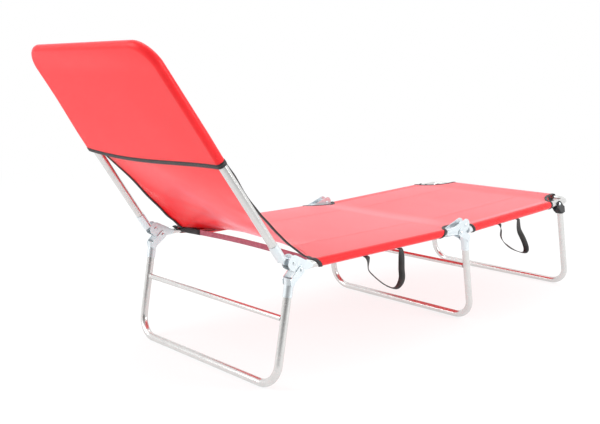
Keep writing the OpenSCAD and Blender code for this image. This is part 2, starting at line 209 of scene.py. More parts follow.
def bed_point(x, along, up):
    """Point on the level bed, which runs on from the seat to the foot section."""
    past = along - SEAT_LEN
    share = ease(past / (2 * FOLD_EASE) + 0.5)
    if share <= 0:
        return seat_point(x, along, up)
    if share >= 1:
        return foot_point(x, past, up)
    return seat_point(x, along, up).lerp(foot_point(x, past, up), share)


def crease(x):
    """Where the free back sheet leaves the seat: a skewed line, drawn back to the rails at the edges."""
    middle = CREASE_MIDDLE - CREASE_SKEW * max(x, -CREASE_LEVEL)
    power = CREASE_POWER_RIGHT if x > 0 else CREASE_POWER_LEFT
    return mixed(middle, CREASE_EDGE, min(abs(x) / SHEET_LOW_X, 1.0) ** power)


def bed_sag(x, along):
    """How far the bed hangs between the rails; none at the crease and at the end bar."""
    across = 0.5 + 0.5 * math.cos(math.pi * min(abs(x) / RAIL_X, 1.0))
    to_end = (SEAT_LEN + FOOT_LEN - along) / SAG_TO_END
    from_head = (along - crease(x)) / SAG_FROM_HEAD
    return SAG * across * ease(to_end) * ease(from_head)


# Meshes
def piece(name, mesh, material):
    made = bpy.data.objects.new(name, mesh)
    bpy.context.scene.collection.objects.link(made)
    mesh.materials.clear()
    mesh.materials.append(material)
    return made


def plain_mesh(made):
    """Turns the evaluated shape of an object into its plain mesh and removes its modifiers."""
    graph = bpy.context.evaluated_depsgraph_get()
    graph.update()
    mesh = bpy.data.meshes.new_from_object(made.evaluated_get(graph), depsgraph=graph)
    made.modifiers.clear()
    made.data = mesh
    mesh.name = made.name
    return made


def smooth(mesh):
    mesh.polygons.foreach_set("use_smooth", [True] * len(mesh.polygons))
    mesh.update()


def sheet_piece(name, grids, material):
    """One cloth piece from grids of (point, (across, along)) pairs that share their meeting edges."""
    shape = bmesh.new()
    uv = shape.loops.layers.uv.new("cloth")
    for grid in grids:
        rows = [[(shape.verts.new(point), flat) for point, flat in row] for row in grid]
        for low, high in zip(rows, rows[1:]):
            for i in range(len(low) - 1):
                corners = (low[i], low[i + 1], high[i + 1], high[i])
                face = shape.faces.new([corner[0] for corner in corners])
                for loop, corner in zip(face.loops, corners):
                    loop[uv].uv = corner[1]
    bmesh.ops.remove_doubles(shape, verts=shape.verts, dist=WELD)
    bmesh.ops.recalc_face_normals(shape, faces=shape.faces)
    mesh = bpy.data.meshes.new(name)
    shape.to_mesh(mesh)
    shape.free()
    smooth(mesh)
    made = piece(name, mesh, material)
    shell = made.modifiers.new("thickness", "SOLIDIFY")
    shell.thickness = CLOTH_T
    shell.offset = 0
    return plain_mesh(made)


def swept_piece(name, runs, material):
    """Closed sweeps: each run has (centre, side, normal) stations and an outline in (side, normal)."""
    shape = bmesh.new()
    uv = shape.loops.layers.uv.new("cloth")
    for stations, outline in runs:
        girth = [0.0]
        for a, b in zip(outline, outline[1:] + outline[:1]):
            girth.append(girth[-1] + math.dist(a, b))
        rings, length = [], [0.0]
        for k, (centre, side, normal) in enumerate(stations):
            rings.append([shape.verts.new(centre + side * p + normal * q) for p, q in outline])
            if k:
                length.append(length[-1] + (centre - stations[k - 1][0]).length)
        count = len(outline)
        for k in range(len(rings) - 1):
            for i in range(count):
                j = (i + 1) % count
                face = shape.faces.new((rings[k][i], rings[k][j], rings[k + 1][j], rings[k + 1][i]))
                spots = ((i, k), (i + 1, k), (i + 1, k + 1), (i, k + 1))
                for loop, (g, l) in zip(face.loops, spots):
                    loop[uv].uv = (girth[g], length[l])
        shape.faces.new(rings[0][::-1])
        shape.faces.new(rings[-1])
    bmesh.ops.recalc_face_normals(shape, faces=shape.faces)
    mesh = bpy.data.meshes.new(name)
    shape.to_mesh(mesh)
    shape.free()
    smooth(mesh)
    return piece(name, mesh, material)


def edge_stations(points, normals):
    """Stations along a cut edge with the cloth on the left: (centre, side into the cloth, normal)."""
    stations = []
    for k, (point, normal) in enumerate(zip(points, normals)):
        before = points[max(k - 1, 0)]
        after = points[min(k + 1, len(points) - 1)]
        tangent = (after - before).normalized()
        side = normal.cross(tangent).normalized()
        stations.append((point, side, tangent.cross(side).normalized()))
    return stations


def tape_outline(width=TAPE_W):
    """Binding tape folded over a cut edge, seen along the edge."""
    upper = [(width, 0.75 * TAPE_T), (0.5 * width, TAPE_T), (0, TAPE_T), (-TAPE_TURN, 0.6 * TAPE_T)]
    return upper + [(side, -up) for side, up in upper[::-1]]


def web_outline(width, thick):
    """Flat webbing with soft selvedges."""
    half, edge = width / 2, SELVEDGE
    return [(half, 0), (half - edge, thick / 2), (edge - half, thick / 2), (-half, 0),
            (edge - half, -thick / 2), (half - edge, -thick / 2)]


# Material helpers
def material_tree(name):
    made = bpy.data.materials.new(name)
    made.use_nodes = True
    tree = made.node_tree
    tree.nodes.clear()
    return made, tree


def add(tree, kind, values=(), **settings):
    """New node with its settings, its input values by name or number, and links where a value is a socket."""
    node = tree.nodes.new(kind)
    for key, value in settings.items():
        setattr(node, key, value)
    for key, value in dict(values).items():
        if isinstance(value, bpy.types.NodeSocket):
            tree.links.new(value, node.inputs[key])
        else:
            node.inputs[key].default_value = value
    return node


def maths(tree, operation, first, second=0.0, third=0.0, clamp=False):
    node = add(tree, "ShaderNodeMath", {0: first, 1: second, 2: third}, operation=operation, use_clamp=clamp)
    return node.outputs[0]


def colour_mix(tree, share, first, second):
    node = add(tree, "ShaderNodeMix", {"Factor": share}, data_type="RGBA")
    for socket, value in ((node.inputs[6], first), (node.inputs[7], second)):
        if isinstance(value, bpy.types.NodeSocket):
            tree.links.new(value, socket)
        else:
            socket.default_value = (*value, 1)
    return node.outputs[2]


def rising(tree, value, low, high, to_low=0.0, to_high=1.0):
    node = add(tree, "ShaderNodeMapRange", {0: value, 1: low, 2: high, 3: to_low, 4: to_high})
    return node.outputs[0]


def output(tree, shader):
    add(tree, "ShaderNodeOutputMaterial", {"Surface": shader})


def cloth_coordinates(tree):
    """Across and along in metres, from the piece's own map."""
    spread = add(tree, "ShaderNodeSeparateXYZ", {0: add(tree, "ShaderNodeUVMap", uv_map="cloth").outputs[0]})
    return spread.outputs[0], spread.outputs[1]


def thread_wave(tree, coordinate, pitch):
    """0 between threads, 1 on top of a thread."""
    phase = maths(tree, "MULTIPLY", coordinate, math.pi / pitch)
    return maths(tree, "ABSOLUTE", maths(tree, "SINE", phase))


def mesh_material(name, sheen, tint):
    """Open coated mesh: threads both ways with small holes, glossy at a flat angle, with painted shade on the
    thread edges.
    """
    made, tree = material_tree(name)
    across, along = cloth_coordinates(tree)
    warp, weft = thread_wave(tree, across, MESH_PITCH), thread_wave(tree, along, MESH_PITCH)
    height = maths(tree, "MAXIMUM", warp, weft)
    thread = rising(tree, height, THREAD_FROM, THREAD_FULL)
    place = add(tree, "ShaderNodeTexCoord").outputs["Object"]
    patches = add(tree, "ShaderNodeTexNoise", {"Vector": place, "Scale": 7.0, "Detail": 3.0})
    yarns = add(tree, "ShaderNodeTexNoise", {"Vector": place, "Scale": 420.0, "Detail": 1.0})
    shade = rising(tree, patches.outputs["Fac"], 0.3, 0.7)
    colour = colour_mix(tree, shade, (0.96, 0.013, 0.018), (0.99, 0.024, 0.031))
    # Painted shade: the colour darkens from the thread crowns to the thread edges; speck is random yarn tone.
    thread_edge_shade = rising(tree, height, 0.55, 1.0, 0.86, 1.0)
    speck = rising(tree, yarns.outputs["Fac"], 0.3, 0.7, 0.94, 1.02)
    colour = add(tree, "ShaderNodeVectorMath", {0: colour, 3: maths(tree, "MULTIPLY", thread_edge_shade, speck)},
                 operation="SCALE").outputs[0]
    bump = add(tree, "ShaderNodeBump", {"Strength": 0.35, "Distance": 0.4 * MM, "Height": height})
    rough = rising(tree, yarns.outputs["Fac"], 0.3, 0.7, 0.42, 0.56)
    coat = add(tree, "ShaderNodeBsdfPrincipled", {
        "Base Color": colour, "Roughness": rough, "Specular IOR Level": 0.15, "Sheen Weight": sheen,
        "Sheen Roughness": 0.25, "Sheen Tint": tint, "Coat Weight": 1.0, "Coat Roughness": 0.34,
        "Coat IOR": 1.3, "Normal": bump.outputs[0]})
    through = add(tree, "ShaderNodeBsdfTranslucent", {"Color": colour})
    solid = add(tree, "ShaderNodeMixShader", {0: THROUGH_SHARE, 1: coat.outputs[0], 2: through.outputs[0]})
    hole = add(tree, "ShaderNodeBsdfTransparent")
    cloth = add(tree, "ShaderNodeMixShader", {0: thread, 1: hole.outputs[0], 2: solid.outputs[0]})
    output(tree, cloth.outputs[0])
    return made


def woven_material(name, dark, light, pitch, roughness, sheen):
    """Flat woven tape or webbing with a rib across it."""
    made, tree = material_tree(name)
    around, along = cloth_coordinates(tree)
    rib = thread_wave(tree, along, pitch)
    yarn = thread_wave(tree, around, 0.7 * pitch)
    height = maths(tree, "MULTIPLY_ADD", rib, 0.6, maths(tree, "MULTIPLY", yarn, 0.4))
    place = add(tree, "ShaderNodeTexCoord").outputs["Object"]
    wear = add(tree, "ShaderNodeTexNoise", {"Vector": place, "Scale": 60.0, "Detail": 4.0})
    share = maths(tree, "MULTIPLY", rising(tree, wear.outputs["Fac"], 0.35, 0.7), height)
    colour = colour_mix(tree, share, dark, light)
    bump = add(tree, "ShaderNodeBump", {"Strength": 0.6, "Distance": 0.3 * MM, "Height": height})
    body = add(tree, "ShaderNodeBsdfPrincipled", {
        "Base Color": colour, "Roughness": roughness, "Sheen Weight": sheen, "Sheen Roughness": 0.5,
        "Normal": bump.outputs[0]})
    output(tree, body.outputs[0])
    return made


def thread_material(name, dark, light):
    """Twisted sewing thread."""
    made, tree = material_tree(name)
    place = add(tree, "ShaderNodeTexCoord").outputs["Object"]
    twist = add(tree, "ShaderNodeTexNoise", {"Vector": place, "Scale": 900.0, "Detail": 1.0})
    colour = colour_mix(tree, twist.outputs["Fac"], dark, light)
    body = add(tree, "ShaderNodeBsdfPrincipled", {
        "Base Color": colour, "Roughness": 0.55, "Sheen Weight": 0.2})
    output(tree, body.outputs[0])
    return made


def metal_material(name, colour, dull, roughness, grain, spangle):
    """Drawn or stamped bare metal: fine grain, faint stains and small dents in the gloss."""
    made, tree = material_tree(name)
    place = add(tree, "ShaderNodeTexCoord").outputs["Object"]
    stains = add(tree, "ShaderNodeTexNoise", {"Vector": place, "Scale": 35.0, "Detail": 5.0})
    lines = add(tree, "ShaderNodeTexNoise", {"Vector": place, "Scale": grain, "Detail": 2.0})
    flakes = add(tree, "ShaderNodeTexVoronoi", {"Vector": place, "Scale": spangle})
    stain = rising(tree, stains.outputs["Fac"], 0.45, 0.75)
    flake = maths(tree, "MULTIPLY", flakes.outputs["Color"], 0.1)
    dulled = maths(tree, "ADD", maths(tree, "MULTIPLY", stain, 0.4), flake, clamp=True)
    base = colour_mix(tree, dulled, colour, dull)
    gloss = rising(tree, lines.outputs["Fac"], 0.3, 0.7, roughness * 0.9, roughness * 1.15)
    bump = add(tree, "ShaderNodeBump", {
        "Strength": 0.03, "Distance": 0.1 * MM, "Height": lines.outputs["Fac"]})
    body = add(tree, "ShaderNodeBsdfPrincipled", {
        "Base Color": base, "Metallic": 0.88, "Roughness": gloss, "Normal": bump.outputs[0]})
    output(tree, body.outputs[0])
    return made


def plastic_material():
    """Black moulding with a fine grain and pale scuffs."""
    made, tree = material_tree("black_plastic")
    place = add(tree, "ShaderNodeTexCoord").outputs["Object"]
    grain = add(tree, "ShaderNodeTexNoise", {"Vector": place, "Scale": 700.0, "Detail": 2.0})
    scuffs = add(tree, "ShaderNodeTexNoise", {"Vector": place, "Scale": 90.0, "Detail": 5.0})
    scuff = rising(tree, scuffs.outputs["Fac"], 0.55, 0.75)
    colour = colour_mix(tree, scuff, (0.016, 0.016, 0.018), (0.05, 0.05, 0.054))
    gloss = rising(tree, grain.outputs["Fac"], 0.3, 0.7, 0.34, 0.5)
    bump = add(tree, "ShaderNodeBump", {
        "Strength": 0.15, "Distance": 0.1 * MM, "Height": grain.outputs["Fac"]})
    body = add(tree, "ShaderNodeBsdfPrincipled", {
        "Base Color": colour, "Roughness": gloss, "Normal": bump.outputs[0]})
    output(tree, body.outputs[0])
    return made


# Painted sheen: the bed is a copy of the same red mesh with a stronger, bluer sheen, so it looks paler at a
# flat angle than the back
RED_MESH = mesh_material("red_mesh", 0.8, (1.0, 0.80, 0.96, 1.0))
BED_SHEEN_COPY_MESH = mesh_material("tight_red_mesh", 1.0, (0.94, 0.90, 1.0, 1.0))
BLACK_TAPE = woven_material(
    "black_binding", (0.008, 0.006, 0.007), (0.026, 0.021, 0.023), 1.2 * MM, 0.6, 0.08)
BLACK_WEB = woven_material(
    "black_webbing", (0.008, 0.007, 0.007), (0.026, 0.023, 0.022), 1.8 * MM, 0.6, 0.08)
# Painted shade: the cross band's dark wine red stands for a red strap lying in shade under the seat.
SHADED_BAND = woven_material("wine_band", (0.30, 0.055, 0.09), (0.46, 0.11, 0.16), 1.6 * MM, 0.7, 0.2)
RED_THREAD = thread_material("red_thread", (0.62, 0.03, 0.035), (0.86, 0.09, 0.10))
BLACK_THREAD = thread_material("black_thread", (0.03, 0.027, 0.028), (0.09, 0.08, 0.08))
ALUMINIUM = metal_material("drawn_aluminium", (0.69, 0.69, 0.68), (0.58, 0.58, 0.58), 0.24, 260.0, 40.0)
ZINC_STEEL = metal_material("zinc_plated_steel", (0.75, 0.81, 0.84), (0.62, 0.69, 0.73), 0.33, 420.0, 160.0)
BLACK_PLASTIC = plastic_material()


# Bed: seat and foot mesh in one sheet, with a sewn sleeve round each rail and round the end bar
def wrap_turns(leaves, seam_in):
    """Stations round a tube from its top outwards: (offset, height, arc length, turn) with unit radius."""
    round_steps, under_steps = 15, 5
    turns = [leaves * k / round_steps for k in range(1, round_steps + 1)]
    arcs = [(math.sin(turn), math.cos(turn), turn, turn) for turn in turns]
    out, up = arcs[-1][:2]
    seam = (-seam_in / CLOTH_R, SEAM_UP)
    run = math.dist((out, up), seam)
    for k in range(1, under_steps + 1):
        share = k / under_steps
        arcs.append((mixed(out, seam[0], share), mixed(up, seam[1], share), leaves + run * share, math.pi))
    flap = FLAP / CLOTH_R
    arcs.append((seam[0] - flap, seam[1], leaves + run + flap, math.pi))
    return arcs


WRAP = wrap_turns(WRAP_END, SEAM_IN)
END_WRAP = wrap_turns(END_WRAP_END, END_SEAM_IN)


def bed_stations():
    """Stations across the right half: (x, offset, height, reach, turn), offset and height in sleeve radii."""
    inner, outer, rail = 14, 8, 22
    middle = [END_SLEEVE_LEFT * k / inner for k in range(inner + 1)]
    between = [mixed(END_SLEEVE_LEFT, END_SLEEVE_X, k / outer) for k in range(1, outer + 1)]
    edge = [mixed(END_SLEEVE_X, RAIL_X, k / rail) for k in range(1, rail + 1)]
    flat = [(x, 0.0, 1.0, x, 0.0) for x in middle + between + edge]
    return flat + [(RAIL_X, out, up, RAIL_X + arc * CLOTH_R, turn) for out, up, arc, turn in WRAP]


HALF = bed_stations()
ACROSS = [(-x, -out, up, -far, -turn) for x, out, up, far, turn in HALF[:0:-1]] + HALF


def cut_line(station, hold, inner, top, low, hollow):
    """Where a cut edge crosses a station: inner up to hold, then to top on the rail and low under it."""
    x, _, _, _, turn = station
    if turn:
        return mixed(top, low, ease(abs(turn) / math.pi))
    share = (abs(x) - hold) / (RAIL_X - hold)
    return inner if share <= 0 else mixed(inner, top, share ** hollow)


def head_cut(station):
    """Head edge of the bed: the crease, the corner on the rail and the under-layer of the sleeve."""
    x, out, _, _, turn = station
    if turn:
        inward = max(-out * math.copysign(1, x), 0.0) * CLOTH_R / SEAM_IN
        seam = HEAD_CUT_SEAM_RIGHT if x > 0 else HEAD_CUT_SEAM_LEFT
        round_rail = mixed(HEAD_CUT_TOP, HEAD_CUT_LOW, min(abs(turn) / math.pi, 1.0))
        return mixed(round_rail, seam, inward)
    share = (abs(x) - SHEET_LOW_X) / (RAIL_X - SHEET_LOW_X)
    return crease(x) if share <= 0 else mixed(CREASE_EDGE, HEAD_CUT_TOP, share)


def seat_cut(station):
    return cut_line(station, NOTCH_X, SEAT_LEN, SEAT_CUT_TOP, SEAT_CUT_LOW, SEAT_CUT_HOLLOW)


def foot_cut(station):
    return SEAT_LEN + cut_line(station, NOTCH_X, 0, FOOT_CUT_TOP, FOOT_CUT_LOW, FOOT_CUT_HOLLOW)


def end_reach(side):
    """Half width of the end bar sleeve, which is sewn a little off the middle."""
    return END_SLEEVE_X if side > 0 else END_SLEEVE_LEFT


def end_cut(station):
    hold = end_reach(station[0])
    return SEAT_LEN + cut_line(station, hold, FOOT_LEN, END_CUT_TOP, END_CUT_LOW, END_CUT_HOLLOW)


def sleeve_radius(x, along):
    """The foot sleeves are wide enough to pass over the lug sockets, and wider still round the end bar."""
    by_rail = ease((abs(x) - NOTCH_X) / (RAIL_X - NOTCH_X)) if along > SEAT_LEN else 0.0
    swell = ease((along - SEAT_LEN - FOOT_LEN + END_EASE) / END_EASE)
    return mixed(mixed(CLOTH_R, SOCKET_COVER_R, by_rail), END_COVER_R, swell)


def bed_spot(station, along):
    """(point, cloth coordinates) of a station at a distance along the bed."""
    x, out, up, far, _ = station
    radius = sleeve_radius(x, along)
    place = x + out * radius
    return bed_point(place, along, up * radius - bed_sag(place, along)), (far, along)


def bed_grid(start, stop, rows):
    grid = []
    for k in range(rows + 1):
        grid.append([bed_spot(s, mixed(start(s), stop(s), k / rows)) for s in ACROSS])
    return grid


def end_point(x, out, up):
    """Point round the end bar, the offset and the height given in sleeve radii."""
    return foot_point(x, FOOT_LEN + out * END_COVER_R, up * END_COVER_R)


def end_sleeve_grid():
    """Sleeve round the end bar, running on from the top of the bar."""
    stations = [s for s in ACROSS if abs(s[0]) <= end_reach(s[0]) + EDGE_SLOP and not s[4]]
    grid = [[bed_spot(s, SEAT_LEN + FOOT_LEN) for s in stations]]
    for out, up, arc, _ in END_WRAP:
        far = SEAT_LEN + FOOT_LEN + arc * CLOTH_R
        grid.append([(end_point(s[0], out, up), (s[3], far)) for s in stations])
    return grid


BED_GRIDS = [bed_grid(head_cut, seat_cut, SEAT_ROWS), bed_grid(foot_cut, end_cut, FOOT_ROWS)]
bed = sheet_piece("bed_mesh", BED_GRIDS + [end_sleeve_grid()], BED_SHEEN_COPY_MESH)


def bed_edge(cut, stations):
    """Points and outward normals along a cut edge of the bed."""
    points, normals = [], []
    for station in stations:
        along = cut(station)
        points.append(bed_spot(station, along)[0])
        turn = station[4]
        normals.append(Vector((math.sin(turn), 0, math.cos(turn))))
    return points, normals


def end_sleeve_edge(side):
    """Points and normals down the cut end of the end bar sleeve."""
    points, normals = [], []
    for out, up, _, turn in END_WRAP:
        points.append(end_point(side * end_reach(side), out, up))
        normals.append(Vector((0, math.sin(turn), math.cos(turn))))
    return points, normals


def joined(*runs):
    """One run from several (points, normals) runs, without doubled points."""
    points, normals = [], []
    for some_points, some_normals in runs:
        for point, normal in zip(some_points, some_normals):
            if not points or (point - points[-1]).length > SAME_POINT:
                points.append(point)
                normals.append(normal)
    return points, normals


def turned(run):
    return run[0][::-1], run[1][::-1]


# The tape stops short of the sewn end of the under-layer
BOUND = ACROSS[2:-2]
RIGHT_EDGE = [s for s in BOUND if s[3] >= NOTCH_X - EDGE_SLOP]
RIGHT_HEAD = [s for s in BOUND if s[3] >= SHEET_LOW_X - HEAD_SLOP]
RIGHT_END = [s for s in BOUND if s[3] >= END_SLEEVE_X - EDGE_SLOP]
LEFT_END = [s for s in BOUND if s[3] <= EDGE_SLOP - END_SLEEVE_LEFT]


def mirrored(run):
    """The same run on the other side, turned round so that the cloth stays on its left."""
    points = [Vector((-p.x, p.y, p.z)) for p in run[0]]
    normals = [Vector((-n.x, n.y, n.z)) for n in run[1]]
    return turned((points, normals))


fold_notch = joined(turned(bed_edge(seat_cut, RIGHT_EDGE)), bed_edge(foot_cut, RIGHT_EDGE))
head_end = bed_edge(head_cut, RIGHT_HEAD)
right_notch = joined(turned(bed_edge(end_cut, RIGHT_END)), end_sleeve_edge(1))
left_notch = joined(turned(end_sleeve_edge(-1)), turned(bed_edge(end_cut, LEFT_END)))
BED_EDGES = [edge_stations(*run) for run in (
    fold_notch, mirrored(fold_notch), head_end, mirrored(head_end), right_notch, left_notch)]
bed_binding = swept_piece("bed_binding", [(run, tape_outline()) for run in BED_EDGES], BLACK_TAPE)


# Back cover: a double-layer sock over the upper backrest
BEND_Y = BACK_LEN - BACK_BEND
TURN_Y = BEND_Y + BACK_BEND * math.sin(BACK_LEAN)
BEND_X = back_half(TURN_Y) - BACK_BEND * math.cos(BACK_LEAN)


def cover_rows():
    """Distances along the back with the half width of the tube centre line and its outward turn there."""
    rows = []
    for k in range(COVER_STEPS):
        along = mixed(HEM, TURN_Y, k / COVER_STEPS)
        rows.append((along, back_half(along), BACK_LEAN))
    for k in range(BEND_STEPS + 1):
        turn = mixed(BACK_LEAN, math.pi / 2, k / BEND_STEPS)
        rows.append((BEND_Y + BACK_BEND * math.sin(turn), BEND_X + BACK_BEND * math.cos(turn), turn))
    return rows


COVER_ROWS = cover_rows()
COVER_COLUMNS = [math.sin(math.pi / 2 * k / COVER_HALF_COLUMNS)
                 for k in range(-COVER_HALF_COLUMNS, COVER_HALF_COLUMNS + 1)]


def flare(side, along):
    """How far the cover stands off the tube: a little on the way up, and much at the loose left hem."""
    slack = COVER_SLACK * ease((along - HEM) / SLACK_RISE) * ease((BACK_LEN - along) / BACK_BEND)
    return slack if side > 0 else slack + COVER_FLARE * ease((HEM + FLARE_RISE - along) / FLARE_RISE)


def cover_out(share, along, face):
    """Height of a cover layer over the tube plane, hollow between the tubes."""
    to_top = ease((BACK_LEN - along) / COVER_SAG_RUN)
    return face * CLOTH_R - COVER_SAG * face * (1 - share * share) * to_top


def cover_along(share, along, face):
    """The hem of the rear layer hangs lower in the middle."""
    if face > 0:
        return along
    fade = ease((HEM + HEM_FADE - along) / HEM_FADE)
    return along - HEM_DIP * (1 - share * share) * (1 - HEM_SKEW * share) * fade


def cover_x(share, along, half):
    return share * (half + flare(share, along))


def cover_layer(face):
    grid = []
    for along, half, _ in COVER_ROWS:
        row = []
        for share in COVER_COLUMNS:
            x, place = cover_x(share, along, half), cover_along(share, along, face)
            row.append((back_point(x, place, cover_out(share, along, face)), (x, place)))
        grid.append(row)
    return grid


def cover_rim():
    """Stations round the bent tube from the left hem to the right hem: (x, along, outward direction)."""
    rim = [(half, along, (math.cos(turn), math.sin(turn))) for along, half, turn in COVER_ROWS]
    top = [(share * BEND_X, BACK_LEN, (0.0, 1.0)) for share in COVER_COLUMNS[1:-1]]
    left = [(-x - flare(-1, along), along, (-way[0], way[1])) for x, along, way in rim]
    right = [(x + flare(1, along), along, way) for x, along, way in rim]
    return left + top + right[::-1]


RIM_TURNS = [math.pi / 2 - math.pi * k / RIM_STEPS for k in range(RIM_STEPS + 1)]


def rim_point(station, turn):
    x, along, way = station
    reach = CLOTH_R * math.cos(turn)
    return back_point(x + way[0] * reach, along + way[1] * reach, CLOTH_R * math.sin(turn))


def cover_rim_grid():
    grid, far = [], 0.0
    rim = cover_rim()
    for k, station in enumerate(rim):
        if k:
            far += math.dist(station[:2], rim[k - 1][:2])
        grid.append([(rim_point(station, turn), (CLOTH_R * (math.pi / 2 - turn), far)) for turn in RIM_TURNS])
    return grid


cover = sheet_piece("back_cover_mesh", [cover_layer(1), cover_layer(-1), cover_rim_grid()], RED_MESH)


def back_direction(x, along, out):
    """A direction on the backrest turned into the object's frame."""
    return Vector((x, -along * BACK_COS + out * BACK_SIN, along * BACK_SIN + out * BACK_COS))


def hem_run():
    """Rear hem from the front of the left tube, round it, across the back and round the right tube."""
    left, right = cover_rim()[0], cover_rim()[-1]
    points = [rim_point(left, turn) for turn in RIM_TURNS]
    normals = [back_direction(-math.cos(turn), 0, math.sin(turn)) for turn in RIM_TURNS]
    for point, _ in cover_layer(-1)[0][1:-1]:
        points.append(point)
        normals.append(back_direction(0, 0, -1))
    points += [rim_point(right, turn) for turn in RIM_TURNS[::-1]]
    normals += [back_direction(math.cos(turn), 0, math.sin(turn)) for turn in RIM_TURNS[::-1]]
    return points, normals


HEM_EDGE = edge_stations(*hem_run())
cover_binding = swept_piece("cover_binding", [(HEM_EDGE, tape_outline(HEM_TAPE_W))], BLACK_TAPE)


# Free back sheet between the cover and the seat
def sheet_half(side, up):
    """Half width of the free sheet: drawn in half way up, wide where it joins the seat and the cover."""
    middle, top = (SHEET_MID_RIGHT, SHEET_TOP_RIGHT) if side > 0 else (SHEET_MID_LEFT, SHEET_TOP_LEFT)
    if up < SHEET_NARROW_UP:
        return mixed(SHEET_LOW_X, middle, ease(up / SHEET_NARROW_UP))
    sewn = back_half(HEM) + flare(side, HEM)
    width = mixed(middle, top, ease((up - SHEET_WIDEN_UP) / SHEET_WIDEN_RUN))
    return width + (sewn - top) * ease((up - SHEET_SEWN_UP) / SHEET_SEWN_RUN)


def sheet_point(share, up):
    """Point of the slack sheet: up from 0 on the seat to 1 at the hem of the cover."""
    x = share * sheet_half(share, up)
    low_x = share * SHEET_LOW_X
    low = seat_point(x, crease(low_x), CLOTH_R)
    high = back_point(x, HEM, cover_out(share, HEM, 1))
    edge = abs(share) ** 2
    lift = mixed(SHEET_LIFT_MIDDLE, SHEET_LIFT_EDGE, edge)
    rising_way = Vector((0, -math.cos(lift), math.sin(lift)))
    falling_way = Vector((0, math.cos(SHEET_LEAVES_COVER), -math.sin(SHEET_LEAVES_COVER)))
    low_way = low + rising_way * mixed(SHEET_EASE_MIDDLE, SHEET_EASE_EDGE, edge)
    high_way = high + falling_way * SHEET_EASE_TOP
    down = 1 - up
    point = low * down ** 3 + low_way * 3 * down ** 2 * up + high_way * 3 * down * up ** 2 + high * up ** 3
    slack = ease(up / SHEET_SLACK_IN) * ease((SHEET_SLACK_END - up) / SHEET_SLACK_OUT)
    rippled_up = RIPPLE_UP * up + RIPPLE_SLANT * share
    ripple = noise.noise(Vector((RIPPLE_ACROSS * share + RIPPLE_SHIFT, rippled_up, RIPPLE_LAYER)))
    draw = noise.noise(Vector((DRAW_ACROSS * share - DRAW_UP * up, DRAW_UP * up, DRAW_LAYER)))
    return point + SLACK_WAY * slack * (SHEET_RIPPLE * ripple + SHEET_DRAW * draw)


SHEET_UPS = [k / SHEET_STEPS for k in range(SHEET_STEPS + 1)]
SHEET_SHARES = [k / SHEET_HALF_COLUMNS for k in range(-SHEET_HALF_COLUMNS, SHEET_HALF_COLUMNS + 1)]


def sheet_grid():
    grid, along = [], 0.0
    for k, up in enumerate(SHEET_UPS):
        if k:
            along += (sheet_point(0, up) - sheet_point(0, SHEET_UPS[k - 1])).length
        grid.append([(sheet_point(share, up), (share * sheet_half(share, up), CREASE_MIDDLE - along))
                     for share in SHEET_SHARES])
    return grid


SHEET_GRID = sheet_grid()
back_sheet = sheet_piece("back_sheet_mesh", [SHEET_GRID], RED_MESH)


def sheet_edge(side):
    """Right edge downwards or left edge upwards, so that the cloth lies on the left."""
    points, normals = [], []
    for k, up in enumerate(SHEET_UPS):
        before, after = SHEET_UPS[max(k - 1, 0)], SHEET_UPS[min(k + 1, len(SHEET_UPS) - 1)]
        rise = sheet_point(side, after) - sheet_point(side, before)
        points.append(sheet_point(side, up))
        normals.append(Vector((1, 0, 0)).cross(-rise).normalized())
    return (points, normals) if side < 0 else turned((points, normals))


SHEET_EDGES = [edge_stations(*sheet_edge(side)) for side in (1, -1)]
sheet_binding = swept_piece("back_sheet_binding", [(run, tape_outline()) for run in SHEET_EDGES], BLACK_TAPE)


# Webbing
def smooth_path(knots, steps):
    """Evenly stepped Catmull-Rom curve through the knots."""
    points = []
    for k in range(len(knots) - 1):
        a, b = knots[max(k - 1, 0)], knots[k]
        c, d = knots[k + 1], knots[min(k + 2, len(knots) - 1)]
        for step in range(steps):
            t = step / steps
            points.append(0.5 * (2 * b + (c - a) * t + (2 * a - 5 * b + 4 * c - d) * t * t
                                 + (3 * b - a - 3 * c + d) * t ** 3))
    return points + [knots[-1]]


def ribbon_stations(points, widths):
    """Stations of a ribbon that keeps its given width directions as square to its path as it can."""
    stations = []
    for k, (point, width) in enumerate(zip(points, widths)):
        tangent = (points[min(k + 1, len(points) - 1)] - points[max(k - 1, 0)]).normalized()
        side = (width - tangent * width.dot(tangent)).normalized()
        stations.append((point, side, tangent.cross(side).normalized()))
    return stations


def loop_stations(place, knots):
    """Hanging carry loop through knots of (x, along, up, swing); swing turns its width outwards."""
    points = smooth_path([place(x * MM, along * MM, up * MM) for x, along, up, _ in knots], LOOP_STEPS)
    swings = smooth_path([math.radians(knot[3]) for knot in knots], LOOP_STEPS)
    return ribbon_stations(points, [Vector((math.sin(swing), math.cos(swing), 0)) for swing in swings])


